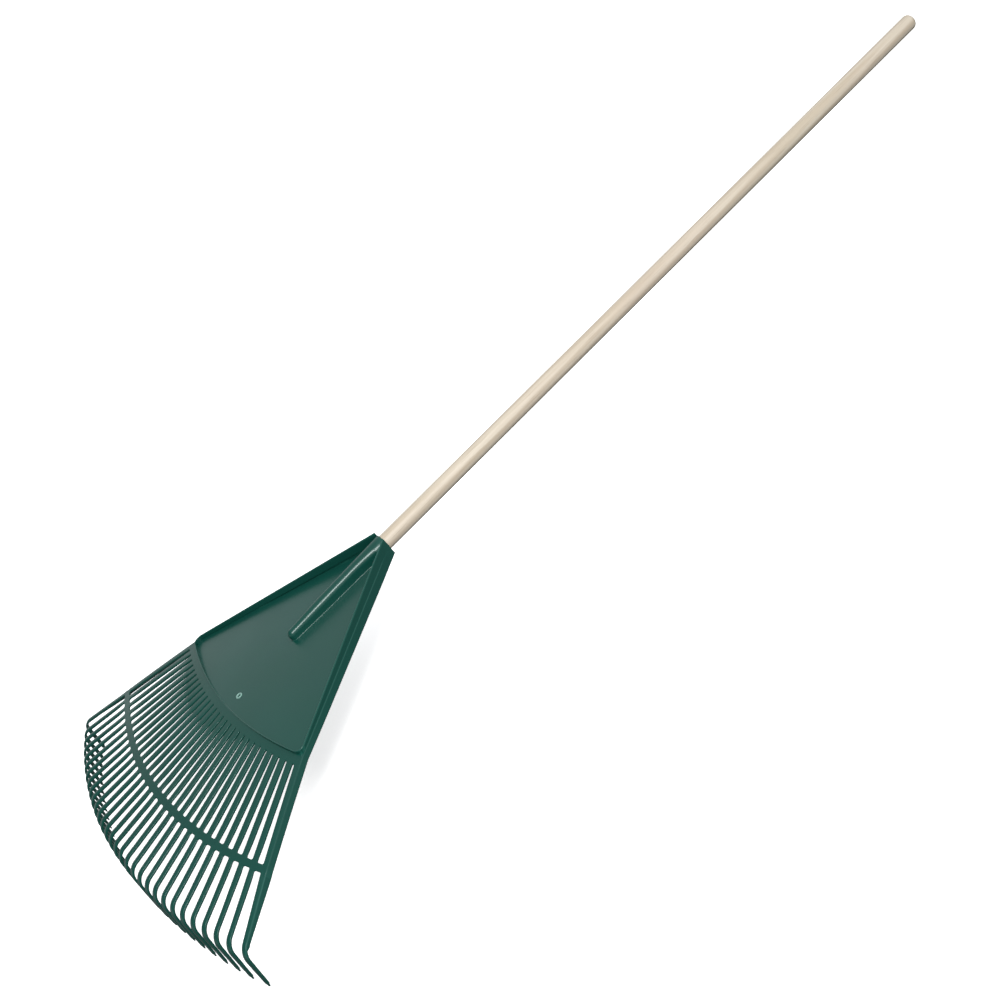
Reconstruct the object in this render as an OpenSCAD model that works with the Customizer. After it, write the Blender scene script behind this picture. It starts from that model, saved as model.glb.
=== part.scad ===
// Leaf rake: a one-piece moulded fan head on a round wooden handle.
// Millimetres. The origin is on the handle's axis in the plane of the socket's mouth.
// +X runs along the handle to its free end, +Z is the side that faces the user.

/* [Handle] */
// Diameter of the handle
handle_d = 22.2; // [20:0.1:22.6]
// Whole length of the handle, with its tapered end
handle_len = 1200; // [900:10:1500]
// Length of the tapered end inside the head
socket_depth = 166; // [150:1:167]
// Length of the steep first part of the taper
taper_mid = 45; // [40:1:60]
// Diameter of the handle after the steep part
taper_mid_d = 13.2; // [11:0.1:13.4]
// Diameter of the handle at the end of its taper
taper_end_d = 9.6; // [7:0.1:10]
// Radius that rounds the handle's free end
end_round = 8; // [3:0.5:10]

/* [Head] */
// Width of the socket's mouth
mouth_w = 28; // [27:0.5:32]
// Height of the socket's mouth
mouth_h = 28; // [27:0.5:32]
// Wall thickness of the plate, the tines and the flanges
wall = 2.2; // [2:0.1:2.6]
// Distance from the mouth to the plate's lower corners
corner_x = 262; // [255:1:266]
// Half width of the plate across its lower corners
corner_y = 194; // [190:1:196]
// Height of the flange's rim at the plate's lower corners
corner_z = -9; // [-12:0.5:-7]
// Height of the plate's face along its middle
plate_z = -6; // [-7:0.1:-5.5]
// Radius of the plate's crown from side to side
plate_crown_r = 2025; // [1900:5:2200]

/* [Tine field] */
// Angle between neighbouring tines
tine_pitch = 2.36; // [2.3:0.01:2.4]
// Distance from the mouth to the point that the tines fan out from
fan_x = 15; // [10:1:20]
// Height of the field's face, continued up to the mouth
field_z = 23.4; // [22:0.1:24]
// Slope of the field below the handle's axis
field_tilt = 5.7; // [5:0.1:6]
// Radius of the field's crown from side to side
field_crown_r = 1742; // [1700:1:1900]
// Width of a tine at the slots' upper ends
tine_w_top = 10; // [9:0.1:10.5]
// Width of a tine at its bend
tine_w_bend = 7.4; // [6:0.1:8]
// Width of the spreader bar
bar_w = 9.5; // [8:0.5:12]

/* [Tine ends] */
// Radius of the bend at the middle of the tine's thickness
bend_r = 18; // [12:1:22]
// Angle of the tips below the handle's axis
tip_angle = 82; // [70:1:88]
// Length of a tip from the corner of its bend
tip_len = 56; // [40:0.5:60]
// Width of a tip at its end
tip_w = 5; // [3:0.1:6]
// Angle by which the outermost tines splay outwards below the bar
splay = 2; // [0:0.1:2.5]
// Gap between a tine's root and the stub it flexes from
root_gap = 0.4; // [0.3:0.1:1]

/* [Screw] */
// Diameter of the retaining screw's shank
screw_d = 4; // [3:0.5:5]
// Length of the screw under its head
screw_len = 16; // [12:1:20]
// Diameter of the screw's head
screw_head_d = 8; // [7:0.5:9]

/* [Hidden] */
TINES = 30;
TINE_NAMES = [for (i = [1:TINES]) str("tine_", i < 10 ? "0" : "", i)];

eps = 0.01;
fine = 96;               // facets of a small round shape
crown_fine = 720;        // facets of a crowned sheet
fit_gap = 0.05;          // radial clearance of the handle in its socket
handle_r = handle_d / 2;
visible_len = handle_len - socket_depth;
half_mouth = mouth_w / 2;
half_height = mouth_h / 2;

// The four arcs across the head: [distance from the mouth on the centre line, radius]
step_arc = [289, 721];
slot_arc = [301, 788];
bar_arc = [424, 838];
bend_arc = [509, 1019];

sheet_len = 620;         // length of the crowned stock that the sheets are cut from
cut_top = 60;
cut_depth = 160;
half_fan = (TINES - 1) / 2 * tine_pitch;

collar_len = 18;
screw_x = -9;
screw_head_h = 2.6;
recess_w = 1.2;
recess_depth = 1.4;

// The tube over the handle: [distance from the mouth, half width, height of its top]
tube = [
    [1, handle_r + wall, handle_r + wall],
    [taper_mid, taper_mid_d / 2 + wall, 12.2],
    [115, taper_mid_d / 2 + wall, 10.4],
    [165, 6.9, 7.1]
];
tube_steps = 24;         // facets of the tube's round top

skirt_out = 2.5;         // how far the skirt leans out at the corner and the bar
skirt_drop = 8.7;
skirt_out_bend = 1.5;
skirt_drop_bend = 5.2;
skirt_lap = 0.3;         // how far the skirt overlaps the field's edge
skirt_gap = 2.6;         // room for the outer tines' skirts to swing past the head's

stub_len = 4;
root_r = wall / 2;
bend_past = 3;           // how far the tines' bends lie past their arc
narrow_from = 14;        // depth below the bend at which a tip starts to narrow
stiffeners = [-21, -9, 9, 21];
stiffener_t = 2;
stiffener_start = 60;    // distance from the fan's centre at which a stiffener starts
steel = [0.72, 0.73, 0.74];
wood = [0.89, 0.80, 0.68];
green = [0.20, 0.38, 0.34];

// Height of the field's face over a point of the plan
function field_height(x, y) =
    field_z + x * tan(field_tilt) - crown_drop(field_crown_r, y) / cos(field_tilt);

function crown_drop(r, y) = r - sqrt(r * r - y * y);

// Distance from the fan's centre to one of the arcs, along a ray at an angle
function arc_distance(arc, angle) =
    let(offset = fan_x - (arc[1] - arc[0]), along = offset * cos(angle))
    along + sqrt(along * along - offset * offset + arc[1] * arc[1]);

// Plan position of a point on a ray of the fan
function on_ray(distance, angle) = [fan_x - distance * cos(angle), distance * sin(angle)];

function tine_angle(i) = (i - (TINES - 1) / 2) * tine_pitch;

// Direction of a tine below the bar
function end_angle(i) = tine_angle(i) + (i == 0 ? -splay : i == TINES - 1 ? splay : 0);

// Width of a tine at a distance from the fan's centre
function tine_width(distance) =
    let(top = arc_distance(slot_arc, 0), bend = arc_distance(bend_arc, 0))
    tine_w_top + (tine_w_bend - tine_w_top) * (distance - top) / (bend - top);

// Half the width of the gap between two tines
function half_gap(distance) = distance * sin(tine_pitch / 2) - tine_width(distance) / 2;

function root_distance(angle) = arc_distance(bar_arc, angle) + bar_w / 2 + stub_len;

// A sheet with a crowned top face, cut out by a plan outline
module crowned_sheet(crown_r, height, tilt) {
    intersection() {
        translate([0, 0, height - crown_r / cos(tilt)])
            rotate([0, -90 - tilt, 0])
                difference() {
                    cylinder(r = crown_r, h = sheet_len, $fn = crown_fine);
                    translate([0, 0, -1])
                        cylinder(r = crown_r - wall, h = sheet_len + 2, $fn = crown_fine);
                }
        translate([0, 0, cut_top - cut_depth])
            linear_extrude(cut_depth)
                children();
    }
}

// A disc that ends at one of the arcs
module arc_disc(arc, grow = 0) {
    translate([arc[1] - arc[0], 0])
        circle(r = arc[1] + grow, $fn = crown_fine);
}

// A leaning wall along a row of stations: the top and the foot of its outer face at each one.
// Seen from outside the wall, the stations run from left to right.
module leaning_wall(tops, feet, thickness) {
    n = len(tops);
    inward = [0, -thickness, 0];
    points = concat(tops, feet, [for (p = tops) p + inward], [for (p = feet) p + inward]);
    function strip(a, b) = [for (k = [0:n - 2])
        each [[a + k, b + k + 1, b + k], [a + k, a + k + 1, b + k + 1]]];
    polyhedron(
        points = points,
        faces = concat(
            strip(0, n), strip(n, 3 * n), strip(3 * n, 2 * n), strip(2 * n, 0),
            [[0, 3 * n, 2 * n], [0, n, 3 * n]],
            [[n - 1, 4 * n - 1, 2 * n - 1], [n - 1, 3 * n - 1, 4 * n - 1]]
        ));
}

module both_sides() {
    children();
    mirror([0, 1, 0]) children();
}

// Plan of the plate between the flanges, down to the step
module plate_plan() {
    overlap = 3;
    plate_lap = 16;
    intersection() {
        polygon([
            [0, half_mouth - 1], [-corner_x - 20, corner_y + plate_lap],
            [-step_arc[0] - 20, 0],
            [-corner_x - 20, -corner_y - plate_lap], [0, 1 - half_mouth]
        ]);
        arc_disc(step_arc, overlap);
    }
}

// Plan of one slot between two inner tines
module slot_plan(angle) {
    first = arc_distance(slot_arc, angle);
    last = arc_distance(bar_arc, angle) - bar_w / 2;
    small = half_gap(first);
    large = half_gap(last);
    corner = 2.4;
    translate([fan_x, 0])
        rotate(180 - angle) {
            translate([first, 0])
                circle(r = small, $fn = 24);
            polygon([
                [first, small], [last - corner, large], [last, large - corner],
                [last, corner - large], [last - corner, -large], [first, -small]
            ]);
        }
}

// A point of the plan beside a ray, at a distance along it
function beside_ray(distance, angle, side) =
    on_ray(distance, angle) + side * [sin(angle), cos(angle)];

// Outline of one tine's stub: bar edge, two corners of the stub's end, bar edge
function stub_outline(angle) =
    let(bar_edge = arc_distance(bar_arc, angle) + bar_w / 2,
        end = root_distance(angle) - root_r - root_gap,
        half = tine_width(end) / 2)
    [beside_ray(bar_edge, angle, -half), beside_ray(end, angle, -half),
     beside_ray(end, angle, half), beside_ray(bar_edge, angle, half)];

// Plan of the field: the band below the step, the inner tines and the spreader bar
module field_plan() {
    start = arc_distance(step_arc, half_fan) - 8;
    half = tine_width(start) / 2;
    difference() {
        polygon(concat(
            [[0, 0], beside_ray(start, -half_fan, -half)],
            [for (i = [0:TINES - 1]) each stub_outline(tine_angle(i))],
            [beside_ray(start, half_fan, half)]));
        arc_disc(step_arc);
        for (i = [0:TINES - 2])
            slot_plan(tine_angle(i + 0.5));
    }
}

// Top of the skirt beside the field's outer edge, at a distance along the outermost tine
function skirt_top(distance) =
    let(side = tine_width(distance) / 2 + skirt_lap,
        p = beside_ray(distance, half_fan, side))
    [p[0], p[1], field_height(p[0], p[1]) - skirt_lap];

function skirt_foot(top) = top + [skirt_out * sin(half_fan), skirt_out * cos(half_fan), -skirt_drop];

// Flange from the mouth to the plate's corner, and the skirt from there to the bar
module flange() {
    corner = [-corner_x, corner_y, corner_z];
    after_corner = skirt_top(arc_distance(step_arc, half_fan) + 8);
    at_bar = skirt_top(root_distance(half_fan) - root_r - root_gap);
    corner_foot = corner + [skirt_out * sin(half_fan), skirt_out * cos(half_fan), after_corner[2] - corner_z - skirt_drop];
    leaning_wall(
        [[0, half_mouth, half_height], corner, after_corner, at_bar],
        [[0, half_mouth, -half_height], corner_foot, skirt_foot(after_corner), skirt_foot(at_bar)],
        wall + 0.4);
}

// Arch-shaped section of the tube over the handle, from its foot on one side over the top to the other
function arch(x, half, crest) = concat(
    [[x, half, plate_z - 1], [x, -half, plate_z - 1]],
    [for (k = [0:tube_steps])
        let(t = 180 - 180 * k / tube_steps) [x, half * cos(t), crest + half * sin(t)]]);

// Tube over the handle on the user's side, with a round top and a domed end
module socket_tube() {
    last = tube[len(tube) - 1];
    dome = [for (a = [15:15:75]) [last[0] + last[1] * sin(a), last[1] * cos(a), last[2] - last[1]]];
    stations = concat([for (t = tube) [t[0], t[1], t[2] - t[1]]], dome);
    n = tube_steps + 3;
    end = n * (len(stations) - 1);
    polyhedron(
        points = [for (t = stations) each arch(-t[0], t[1], t[2])],
        faces = concat(
            [for (base = [0:n:end - n], k = [0:n - 1])
                let(a = base + k, b = base + (k + 1) % n) each [[a, b + n, b], [a, a + n, b + n]]],
            [for (k = [1:n - 2]) [0, k, k + 1]],
            [for (k = [1:n - 2]) [end, end + k + 1, end + k]]));
}

// Collar at the mouth, with a round top and a square foot, and the tapered boss behind the plate
module socket() {
    rotate([0, -90, 0])
        linear_extrude(collar_len)
            polygon(concat(
                [for (t = [-90:7.5:90]) half_mouth * [cos(t), sin(t)]],
                [[-half_height, half_mouth], [-half_height, -half_mouth]]));
    rotate([0, -90, 0])
        rotate_extrude($fn = fine)
            polygon([
                [0, 0], [handle_r + wall + 0.3, 0], [taper_mid_d / 2 + wall, taper_mid],
                [taper_end_d / 2 + wall, socket_depth], [0, socket_depth]
            ]);
}

module socket_bore() {
    rotate([0, -90, 0])
        rotate_extrude($fn = fine)
            polygon([
                [0, -1], [handle_r + fit_gap, -1], [handle_r + fit_gap, 0],
                [taper_mid_d / 2 + fit_gap, taper_mid],
                [taper_end_d / 2 + fit_gap, socket_depth + fit_gap], [0, socket_depth + fit_gap]
            ]);
}

// Low ribs that stiffen the back of the plate
module stiffener(angle) {
    start = stiffener_start;
    end = arc_distance(step_arc, angle) - 4;
    end_y = end * sin(angle);
    end_z = plate_z - wall - crown_drop(plate_crown_r, end_y);
    translate([fan_x, 0, 0])
        rotate([0, 0, 180 - angle])
            rotate([90, 0, 0])
                translate([0, 0, -stiffener_t / 2])
                    linear_extrude(stiffener_t)
                        polygon([
                            [start, plate_z - 1], [end, end_z + 1],
                            [end, end_z - 0.5], [start, -half_height + 1.5]
                        ]);
}

module head() {
    color(green)
        difference() {
            union() {
                crowned_sheet(plate_crown_r, plate_z, 0)
                    plate_plan();
                crowned_sheet(field_crown_r, field_z, field_tilt)
                    field_plan();
                both_sides()
                    flange();
                socket_tube();
                socket();
                for (angle = stiffeners)
                    stiffener(angle);
            }
            socket_bore();
            translate([screw_x, 0, -half_height - 1])
                cylinder(d = screw_d + 2 * fit_gap, h = half_height, $fn = fine);
        }
}

// Turned handle: tapered at the head, rounded at the free end
module handle() {
    arc_steps = 10;
    round_points = [for (k = [0:arc_steps])
        let(a = 90 * k / arc_steps)
        [handle_r - end_round * (1 - cos(a)), visible_len - end_round * (1 - sin(a))]];
    color(wood)
        difference() {
            rotate([0, 90, 0])
                rotate_extrude($fn = fine)
                    polygon(concat(
                        [[0, -socket_depth], [taper_end_d / 2, -socket_depth],
                         [taper_mid_d / 2, -taper_mid], [handle_r, 0]],
                        round_points,
                        [[0, visible_len]]));
            translate([screw_x, 0, -half_height])
                cylinder(d = screw_d + 2 * fit_gap, h = screw_len + fit_gap, $fn = fine);
        }
}

// Pan-head screw with a cross recess, driven in from the back
module handle_screw() {
    dome = 1;
    recess_l = screw_head_d * 0.62;
    color(steel)
        translate([screw_x, 0, -half_height])
            difference() {
                union() {
                    cylinder(d = screw_d, h = screw_len, $fn = fine);
                    translate([0, 0, -screw_head_h + dome])
                        cylinder(d = screw_head_d, h = screw_head_h - dome, $fn = fine);
                    translate([0, 0, -screw_head_h])
                        cylinder(d1 = screw_head_d - 2 * dome, d2 = screw_head_d, h = dome, $fn = fine);
                }
                for (turn = [0, 90])
                    rotate([0, 0, turn])
                        translate([-recess_l / 2, -recess_w / 2, -screw_head_h - eps])
                            cube([recess_l, recess_w, recess_depth]);
            }
}

// Side view of a tine end, from its root on the origin along a slope, round the bend, to the tip
module tine_profile(slope, reach) {
    steps = 6;
    turn = slope + tip_angle;
    along = [cos(slope), sin(slope)];
    down = [cos(tip_angle), -sin(tip_angle)];
    tangent = bend_r * tan(turn / 2);
    corner = reach * along;
    centre = corner - tangent * along + bend_r * [along[1], -along[0]];
    end = corner + tip_len * down;
    across = [sin(tip_angle), cos(tip_angle)];
    root = [for (k = [0:steps])
        let(a = slope - 90 - 180 * k / steps) root_r * [cos(a), sin(a)]];
    outer = [for (k = [0:steps])
        let(a = slope + 90 - turn * k / steps) centre + (bend_r + root_r) * [cos(a), sin(a)]];
    inner = [for (k = [steps:-1:0])
        let(a = slope + 90 - turn * k / steps) centre + (bend_r - root_r) * [cos(a), sin(a)]];
    polygon(concat(root, outer, [end + 0.5 * root_r * across, end - 0.5 * root_r * across], inner));
}

// One tine end, from the stub below the spreader bar to its tip
module tine(i) {
    angle = tine_angle(i);
    root = root_distance(angle);
    bend = arc_distance(bend_arc, angle) + bend_past;
    root_at = on_ray(root, angle);
    bend_at = on_ray(bend, angle);
    root_z = field_height(root_at[0], root_at[1]) - root_r;
    bend_z = field_height(bend_at[0], bend_at[1]) - root_r;
    reach = norm([bend - root, bend_z - root_z]);
    slope = asin((bend_z - root_z) / reach);
    root_half = tine_width(root) / 2;
    bend_half = tine_width(bend) / 2;
    side_room = 30;
    tip_drop = tip_len * sin(tip_angle) - bend_z + root_z;
    color(green)
        translate([root_at[0], root_at[1], root_z])
            rotate([0, 0, 180 - end_angle(i)]) {
                intersection() {
                    rotate([90, 0, 0])
                        translate([0, 0, -side_room])
                            linear_extrude(2 * side_room)
                                tine_profile(slope, reach);
                    translate([0, 0, -cut_depth])
                        linear_extrude(2 * cut_depth)
                            polygon([
                                [-5, root_half], [bend - root, bend_half], [bend - root + side_room, bend_half],
                                [bend - root + side_room, -bend_half], [bend - root, -bend_half], [-5, -root_half]
                            ]);
                    translate([-side_room, 0, 0])
                        rotate([90, 0, 90])
                            linear_extrude(200)
                                polygon([
                                    [-root_half, 5], [root_half, 5], [root_half, bend_z - root_z - narrow_from],
                                    [tip_w / 2, -tip_drop - 1], [-tip_w / 2, -tip_drop - 1],
                                    [-root_half, bend_z - root_z - narrow_from]
                                ]);
                }
                if (i == 0 || i == TINES - 1)
                    mirror([0, i == 0 ? 0 : 1, 0])
                        tine_skirt(slope, reach, root_half, bend_half);
            }
}

// Skirt along the outer edge of an outermost tine
module tine_skirt(slope, reach, root_half, bend_half) {
    last = reach - bend_r * tan((slope + tip_angle) / 2);
    lap = [0, skirt_lap, root_r - skirt_lap];
    top_a = [skirt_gap * cos(slope), root_half, skirt_gap * sin(slope)] + lap;
    top_b = [last * cos(slope), bend_half, last * sin(slope)] + lap;
    leaning_wall(
        [top_b, top_a],
        [top_b + [0, skirt_out_bend, -skirt_drop_bend], top_a + [0, skirt_out, -skirt_drop]],
        wall);
}

head();
handle();
handle_screw();
for (i = [0:TINES - 1])
    tine(i);
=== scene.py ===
import math

import bmesh
import bpy
import numpy as np
from mathutils import Matrix, Quaternion, Vector


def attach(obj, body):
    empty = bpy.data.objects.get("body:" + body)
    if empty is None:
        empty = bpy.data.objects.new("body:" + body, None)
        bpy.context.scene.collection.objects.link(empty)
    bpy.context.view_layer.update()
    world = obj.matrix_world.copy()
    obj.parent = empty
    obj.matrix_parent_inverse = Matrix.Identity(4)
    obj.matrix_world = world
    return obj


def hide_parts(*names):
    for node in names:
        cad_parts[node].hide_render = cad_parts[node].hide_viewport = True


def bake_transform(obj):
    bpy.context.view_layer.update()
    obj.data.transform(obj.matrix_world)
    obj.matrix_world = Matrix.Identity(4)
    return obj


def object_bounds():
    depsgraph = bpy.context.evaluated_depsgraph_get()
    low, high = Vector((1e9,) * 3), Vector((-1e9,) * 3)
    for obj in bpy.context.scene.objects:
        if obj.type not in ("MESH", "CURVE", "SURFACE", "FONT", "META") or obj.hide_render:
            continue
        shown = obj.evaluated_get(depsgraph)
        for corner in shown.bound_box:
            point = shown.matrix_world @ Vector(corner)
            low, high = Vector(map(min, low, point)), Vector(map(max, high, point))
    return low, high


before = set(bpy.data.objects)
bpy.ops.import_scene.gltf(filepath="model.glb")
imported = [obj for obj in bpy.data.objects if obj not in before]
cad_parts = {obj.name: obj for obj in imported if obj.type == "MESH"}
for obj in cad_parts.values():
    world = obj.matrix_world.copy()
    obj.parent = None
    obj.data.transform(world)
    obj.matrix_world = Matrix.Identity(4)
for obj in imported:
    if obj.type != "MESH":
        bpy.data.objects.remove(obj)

# Leaf rake. Lengths are in millimetres, in the CAD model's frame: +X along the handle,
# +Z the user's side. new_object() turns them into metres.

CAD_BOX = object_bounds()
MM = 0.001
Z_AXIS = np.array([0.0, 0.0, 1.0])

# Handle: its lower end tapers in two stages inside the socket
HANDLE_R = 11.1
HANDLE_END_X = 1034.0
SOCKET_DEPTH = 166.0
TAPER_MID, TAPER_MID_R = 45.0, 6.6
TAPER_END_R = 4.8
END_ROUND = 8.0

# Head: the +Y corner where the flange's top meets the step, and the plate
HALF_MOUTH = 14.0
WALL = 2.2
CORNER = (-262.0, 194.0, -9.0)
PLATE_Z = -6.0
PLATE_CROWN_R = 2025.0

# Fan: its tines spread from a centre, over a field that falls away and is crowned
TINES = 30
PITCH = math.radians(2.36)
HALF_FAN = (TINES - 1) / 2 * PITCH
FAN_X = 15.0
FIELD_Z = 23.4
FIELD_TILT = math.radians(5.7)
FIELD_CROWN_R = 1742.0
# The arcs across the head: distance from the mouth on the centre line, radius
STEP_ARC = (289.0, 721.0)
SLOT_ARC = (301.0, 788.0)
BAR_ARC = (424.0, 838.0)
BEND_ARC = (509.0, 1019.0)
TINE_W_TOP = 10.0
TINE_W_BEND = 7.4
TINE_DEEPER = 0.7
BAR_W = 9.5
FILLET = 2.4
EDGE_R = 0.5
EDGE_SUPPORT = 0.5
TINE_DOME = 0.3
# Points across a tine and across the gap beside it, in each row of the field
TINE_POINTS, GAP_POINTS = 5, 7

# Lip along the step, and the rounded corner where it turns into the flange
LIP_H = 6.5
LIP_T = 1.5
CORNER_ROUND = 9.0
FLANGE_STEPS, TURN_STEPS = 15, 8
# The tube over the handle: distance from the mouth, half width, height of its top
TUBE = [(0.0, HANDLE_R + WALL, HANDLE_R + WALL), (TAPER_MID, TAPER_MID_R + WALL, 12.2),
        (115.0, TAPER_MID_R + WALL, 10.4), (165.0, 6.9, 7.1)]
TUBE_FOOT_R = 1.4
# Ledge halfway down the flange's outer face, and the skirt below the head's outermost edges
LEDGE = 0.6
SKIRT_OUT, SKIRT_DROP = 2.5, 8.7
SKIRT_OUT_BEND, SKIRT_DROP_BEND = 1.5, 5.2

# Tine ends
BEND_R = 18.0
BEND_PAST = 3.0
TIP_ANGLE = math.radians(82)
TIP_LEN = 56.0
TIP_W = 5.0
SPLAY = math.radians(2)
STUB_LEN = 4.0

STIFFENERS = (-21, -9, 9, 21)
GATE_RING = (-268.0, -5.0)

SCREW_X = -9.0
SCREW_R = 2.0
SCREW_LEN = 16.0
SCREW_HEAD_R = 4.0
SCREW_HEAD_H = 2.6

# Stage, in metres
FLOOR_GAP = 0.0005
FLOOR_HALF_SIZE = 400.0


# ---------- Geometry of the fan ----------

def crown_drop(radius, y):
    """How far a crowned sheet lies below its middle."""
    return radius - math.sqrt(radius * radius - y * y)


def field_height(x, y):
    """Top of the band, the tines and the spreader bar."""
    return FIELD_Z + x * math.tan(FIELD_TILT) - crown_drop(FIELD_CROWN_R, y) / math.cos(FIELD_TILT)


def plate_height(x, y):
    """Top of the plate, which is level along X."""
    return PLATE_Z - crown_drop(PLATE_CROWN_R, y)


def arc_distance(arc, angle):
    """Distance from the fan's centre to an arc, along a ray."""
    offset = FAN_X - (arc[1] - arc[0])
    along = offset * math.cos(angle)
    return along + math.sqrt(along * along - offset * offset + arc[1] * arc[1])


def beside_ray(distance, angle, side=0.0):
    """Point at a distance from the fan's centre along a ray, and to one side of it."""
    return np.array([
        FAN_X - distance * math.cos(angle) + side * math.sin(angle),
        distance * math.sin(angle) + side * math.cos(angle),
    ])


def tine_angle(i):
    return (i - (TINES - 1) / 2) * PITCH


def tine_width(distance):
    top, bend = arc_distance(SLOT_ARC, 0), arc_distance(BEND_ARC, 0)
    return TINE_W_TOP + (TINE_W_BEND - TINE_W_TOP) * (distance - top) / (bend - top)


def lerp(a, b, t):
    return a + (b - a) * t


def smooth(t):
    t = min(1.0, max(0.0, t))
    return t * t * (3 - 2 * t)


# ---------- Mesh helpers ----------

def new_object(name, verts, faces, material=None):
    mesh = bpy.data.meshes.new(name)
    mesh.from_pydata([[c * MM for c in v] for v in verts], [], faces)
    obj = bpy.data.objects.new(name, mesh)
    bpy.context.scene.collection.objects.link(obj)
    bm = bmesh.new()
    bm.from_mesh(mesh)
    bmesh.ops.recalc_face_normals(bm, faces=bm.faces)
    bm.to_mesh(mesh)
    bm.free()
    if material:
        mesh.materials.append(material)
    return obj


def shade(obj, sharp_deg=50):
    """Smooth shading, with the edges sharper than an angle left sharp."""
    bm = bmesh.new()
    bm.from_mesh(obj.data)
    limit = math.radians(sharp_deg)
    for f in bm.faces:
        f.smooth = True
    for e in bm.edges:
        e.smooth = len(e.link_faces) == 2 and e.calc_face_angle(0) < limit
    bm.to_mesh(obj.data)
    bm.free()


def loft(rings):
    """Closed solid through rings of equal length."""
    n = len(rings[0])
    verts = [p for ring in rings for p in ring]
    faces = []
    for r in range(len(rings) - 1):
        for k in range(n):
            a, b = r * n + k, r * n + (k + 1) % n
            faces.append((a, b, b + n, a + n))
    faces.append(tuple(range(n)))
    faces.append(tuple((len(rings) - 1) * n + k for k in reversed(range(n))))
    return verts, faces


def wall(stations, steps=4):
    """Closed wall with round edges. A station is its base point, the section plane's two axes,
    the centres of the section's two round ends in that plane, and its thickness."""
    rings = []
    for base, e1, e2, a, b, thickness in stations:
        a, b = np.array(a, float), np.array(b, float)
        length = np.linalg.norm(b - a)
        d = (b - a) / length
        n = np.array([-d[1], d[0]])
        r = thickness / 2
        support = min(0.8, length / 4) * d
        around = [math.pi * k / steps for k in range(steps + 1)]
        section = [a + n * r + support]
        section += [a + r * (n * math.cos(t) - d * math.sin(t)) for t in around]
        section += [a - n * r + support, b - n * r - support]
        section += [b + r * (d * math.sin(t) - n * math.cos(t)) for t in around]
        section += [b + n * r - support]
        rings.append([np.array(base) + p[0] * e1 + p[1] * e2 for p in section])
    return loft(rings)


def sheet(plan, quads, height, thickness, edge_r=EDGE_R, dome=None, deeper=None):
    """Closed sheet over a plan of quads, with rounded edges. A point of the plan may lie higher on top,
    by its dome, and deeper below."""
    plan = np.array(plan, float)
    dome = np.zeros(len(plan)) if dome is None else dome
    deeper = np.zeros(len(plan)) if deeper is None else deeper
    sides = {(q[k], q[(k + 1) % 4]) for q in quads for k in range(4)}
    follow = {a: b for a, b in sides if (b, a) not in sides}
    before = {b: a for a, b in follow.items()}
    outward = {}
    for v in follow:
        e1, e2 = plan[v] - plan[before[v]], plan[follow[v]] - plan[v]
        n1 = np.array([e1[1], -e1[0]]) / np.linalg.norm(e1)
        n2 = np.array([e2[1], -e2[0]]) / np.linalg.norm(e2)
        m = n1 + n2
        m /= np.linalg.norm(m)
        outward[v] = m / max(0.6, m @ n1)
    verts = []

    def layer(keys, inset, depth):
        start = len(verts)
        place = {}
        for k in keys:
            p = plan[k] - inset * outward[k] if k in outward else plan[k]
            place[k] = start + len(place)
            below = depth + deeper[k] if depth > thickness / 2 else depth
            verts.append((p[0], p[1], height(p[0], p[1]) + dome[k] - below))
        return place

    edge = sorted(follow)
    cut = edge_r * (1 - math.sqrt(0.5))
    top = layer(range(len(plan)), edge_r + EDGE_SUPPORT, 0)
    rings = [top, layer(edge, edge_r, 0), layer(edge, cut, cut), layer(edge, 0, edge_r),
             layer(edge, 0, thickness - edge_r), layer(edge, cut, thickness - cut),
             layer(edge, edge_r, thickness)]
    bottom = layer(range(len(plan)), edge_r + EDGE_SUPPORT, thickness)
    rings.append(bottom)
    faces = [tuple(top[v] for v in q) for q in quads]
    faces += [tuple(bottom[v] for v in reversed(q)) for q in quads]
    for up, down in zip(rings, rings[1:]):
        faces += [(up[follow[v]], up[v], down[v], down[follow[v]]) for v in edge]
    return verts, faces


def boolean(target, tools, operation):
    """Joins or cuts closed solids, one after the other, and removes the tools."""
    for tool in tools:
        modifier = target.modifiers.new("solid", "BOOLEAN")
        modifier.operation = operation
        modifier.solver = "MANIFOLD"
        modifier.object = tool
        evaluated = target.evaluated_get(bpy.context.evaluated_depsgraph_get())
        result = bpy.data.meshes.new_from_object(evaluated)
        target.modifiers.clear()
        old = target.data
        target.data = result
        bpy.data.meshes.remove(old)
        bpy.data.objects.remove(tool)
    return target


# ---------- Materials ----------

def material(name):
    m = bpy.data.materials.new(name)
    m.use_nodes = True
    tree = m.node_tree
    return m, tree, tree.nodes["Principled BSDF"]


def node(tree, kind, **values):
    """A new node, with values for its sockets or its properties."""
    n = tree.nodes.new(kind)
    for key, value in values.items():
        if key in n.inputs:
            n.inputs[key].default_value = value
        else:
            setattr(n, key, value)
    return n


def noise(tree, vector, scale, detail=3.0, roughness=0.5, stretch=(1, 1, 1)):
    mapping = node(tree, "ShaderNodeMapping", Scale=stretch)
    tree.links.new(vector, mapping.inputs["Vector"])
    n = node(tree, "ShaderNodeTexNoise", Scale=scale, Detail=detail, Roughness=roughness)
    tree.links.new(mapping.outputs["Vector"], n.inputs["Vector"])
    return n.outputs["Fac"]


def ramp(tree, value, stops):
    r = tree.nodes.new("ShaderNodeValToRGB")
    while len(r.color_ramp.elements) < len(stops):
        r.color_ramp.elements.new(0.5)
    for element, (place, colour) in zip(r.color_ramp.elements, stops):
        element.position = place
        element.color = (*colour, 1) if hasattr(colour, "__len__") else (colour,) * 3 + (1,)
    tree.links.new(value, r.inputs["Fac"])
    return r.outputs["Color"]


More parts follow.
